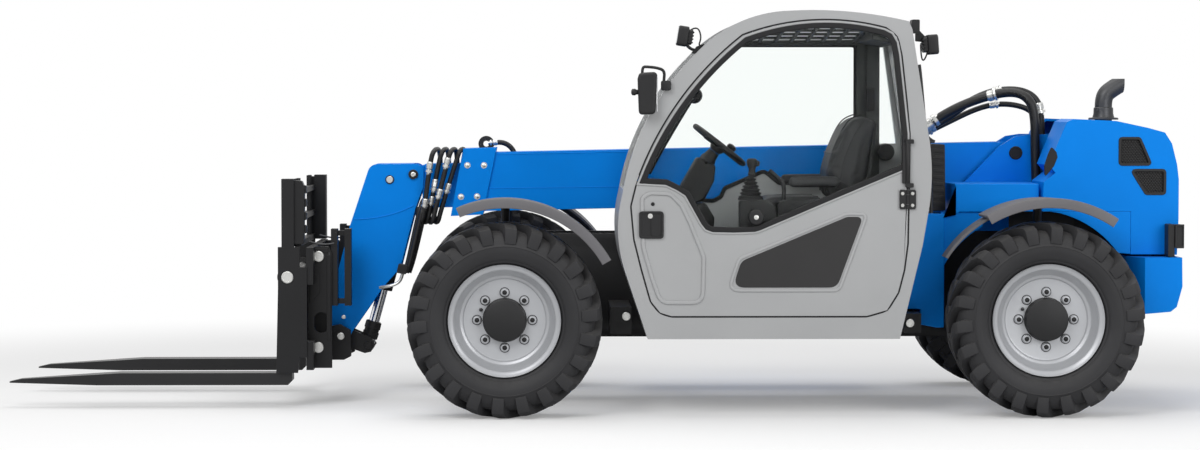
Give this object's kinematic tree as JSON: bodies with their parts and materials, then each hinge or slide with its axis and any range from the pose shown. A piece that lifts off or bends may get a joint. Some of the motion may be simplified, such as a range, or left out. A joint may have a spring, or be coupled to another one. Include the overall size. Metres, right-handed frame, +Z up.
{
  "type": "telehandler",
  "caption": "Compact telescopic handler with a side cab, a two-stage boom with pallet forks, a rear engine and all wheels steered",
  "frame": {"origin": "on the ground under the middle of the overall length and width", "axes": "+X towards the rear, +Y towards the machine's right side, +Z up"},
  "size_m": [5.304, 1.81, 1.7889],
  "materials": {
    "boom_blue": "gloss",
    "cab_grey": "gloss",
    "frame_black": "satin",
    "rim_silver": "satin",
    "tyre": "matte",
    "plastic_dark": "matte",
    "rubber": "matte",
    "fender_grey": "matte",
    "glass": "clear",
    "chrome": "polished",
    "fork_steel": "satin",
    "seat_vinyl": "matte",
    "lens": "gloss"
  },
  "bodies": {
    "chassis": {"main_frame": "frame_black", "front_axle": "frame_black", "rear_axle": "frame_black", "fenders": "fender_grey", "left_body": "boom_blue", "right_body": "boom_blue", "side_tank": "boom_blue", "counterweight": "boom_blue", "tail_lamps": "plastic_dark", "engine_block": "frame_black", "cab_frame": "cab_grey", "cab_glass": "glass", "roof_guard": "frame_black", "seat": "seat_vinyl", "steering_column": "plastic_dark", "steering_wheel": "plastic_dark", "side_console": "plastic_dark", "mirror": "plastic_dark", "work_lamps": "plastic_dark", "rear_hoses": "rubber"},
    "outer_boom": {"outer_boom": "boom_blue"},
    "inner_boom": {"inner_boom": "boom_blue", "boom_head": "boom_blue", "nose_hoses": "rubber"},
    "carriage": {"carriage_frame": "frame_black", "fork_shaft": "chrome", "forks": "fork_steel", "load_backrest": "frame_black"},
    "lift_barrel": {"lift_barrel": "frame_black"},
    "lift_rod": {"lift_rod": "chrome"},
    "tilt_barrel": {"tilt_barrel": "frame_black"},
    "tilt_rod": {"tilt_rod": "chrome"},
    "door": {"door_panel": "cab_grey", "door_glass": "glass", "door_handle": "plastic_dark"},
    "hood": {"hood_shell": "boom_blue", "grilles": "plastic_dark", "exhaust_stack": "frame_black"},
    "front_left_knuckle": {"front_left_knuckle": "frame_black"},
    "front_left_wheel": {"front_left_rim": "rim_silver", "front_left_tyre": "tyre"},
    "front_right_knuckle": {"front_right_knuckle": "frame_black"},
    "front_right_wheel": {"front_right_rim": "rim_silver", "front_right_tyre": "tyre"},
    "rear_left_knuckle": {"rear_left_knuckle": "frame_black"},
    "rear_left_wheel": {"rear_left_rim": "rim_silver", "rear_left_tyre": "tyre"},
    "rear_right_knuckle": {"rear_right_knuckle": "frame_black"},
    "rear_right_wheel": {"rear_right_rim": "rim_silver", "rear_right_tyre": "tyre"}
  },
  "joints": [
    {"name": "boom_lift", "type": "hinge", "parent": "chassis", "child": "outer_boom", "pos_m": [1.967, 0.095, 1.152], "axis": [0, 1, 0], "range_deg": [-1.5, 63], "deforming": ["rear_hoses"]},
    {"name": "boom_extend", "type": "slide", "parent": "outer_boom", "child": "inner_boom", "axis": [-0.9998, 0, -0.0202], "range_m": [0, 1.9]},
    {"name": "fork_tilt", "type": "hinge", "parent": "inner_boom", "child": "carriage", "pos_m": [-1.168, 0.095, 0.302], "axis": [0, 1, 0], "range_deg": [-90, 12]},
    {"name": "lift_barrel_swing", "type": "hinge", "parent": "chassis", "child": "lift_barrel", "pos_m": [1.87, 0.095, 0.56], "axis": [0, 1, 0], "range_deg": [-1.3, 51]},
    {"name": "lift_rod_slide", "type": "slide", "parent": "lift_barrel", "child": "lift_rod", "axis": [-0.9678, 0, 0.2516], "range_m": [-0.015, 0.6]},
    {"name": "tilt_barrel_swing", "type": "hinge", "parent": "inner_boom", "child": "tilt_barrel", "pos_m": [-0.829, 0.095, 1.053], "axis": [0, 1, 0], "range_deg": [-2, 8]},
    {"name": "tilt_rod_slide", "type": "slide", "parent": "tilt_barrel", "child": "tilt_rod", "axis": [-0.2658, 0, -0.964], "range_m": [-0.17, 0.03]},
    {"name": "door_hinge", "type": "hinge", "parent": "chassis", "child": "door", "pos_m": [1.372, -0.84, 1.2], "axis": [0, 0, 1], "range_deg": [0, 85]},
    {"name": "hood_hinge", "type": "hinge", "parent": "chassis", "child": "hood", "pos_m": [2.648, 0, 0.697], "axis": [0, 1, 0], "range_deg": [0, 60]},
    {"name": "front_left_steer", "type": "hinge", "parent": "chassis", "child": "front_left_knuckle", "pos_m": [-0.394, -0.6, 0.43], "axis": [0, 0, 1], "range_deg": [-24, 24]},
    {"name": "front_left_spin", "type": "hinge", "parent": "front_left_knuckle", "child": "front_left_wheel", "pos_m": [-0.394, -0.75, 0.43], "axis": [0, 1, 0], "continuous": true},
    {"name": "front_right_steer", "type": "hinge", "parent": "chassis", "child": "front_right_knuckle", "pos_m": [-0.394, 0.6, 0.43], "axis": [0, 0, 1], "range_deg": [-24, 24]},
    {"name": "front_right_spin", "type": "hinge", "parent": "front_right_knuckle", "child": "front_right_wheel", "pos_m": [-0.394, 0.75, 0.43], "axis": [0, 1, 0], "continuous": true},
    {"name": "rear_left_steer", "type": "hinge", "parent": "chassis", "child": "rear_left_knuckle", "pos_m": [1.99, -0.6, 0.43], "axis": [0, 0, 1], "range_deg": [-24, 24]},
    {"name": "rear_left_spin", "type": "hinge", "parent": "rear_left_knuckle", "child": "rear_left_wheel", "pos_m": [1.99, -0.75, 0.43], "axis": [0, 1, 0], "continuous": true},
    {"name": "rear_right_steer", "type": "hinge", "parent": "chassis", "child": "rear_right_knuckle", "pos_m": [1.99, 0.6, 0.43], "axis": [0, 0, 1], "range_deg": [-24, 24]},
    {"name": "rear_right_spin", "type": "hinge", "parent": "rear_right_knuckle", "child": "rear_right_wheel", "pos_m": [1.99, 0.75, 0.43], "axis": [0, 1, 0], "continuous": true}
  ],
  "couplings": [
    {"joint": "lift_barrel_swing", "follows": "boom_lift", "ratio": 0.797},
    {"joint": "lift_rod_slide", "follows": "boom_lift", "m_per_rad": 0.52456},
    {"joint": "tilt_barrel_swing", "follows": "fork_tilt", "ratio": -0.077},
    {"joint": "tilt_rod_slide", "follows": "fork_tilt", "m_per_rad": 0.097451},
    {"joint": "front_right_steer", "follows": "front_left_steer", "ratio": 1},
    {"joint": "rear_right_steer", "follows": "rear_left_steer", "ratio": 1}
  ]
}
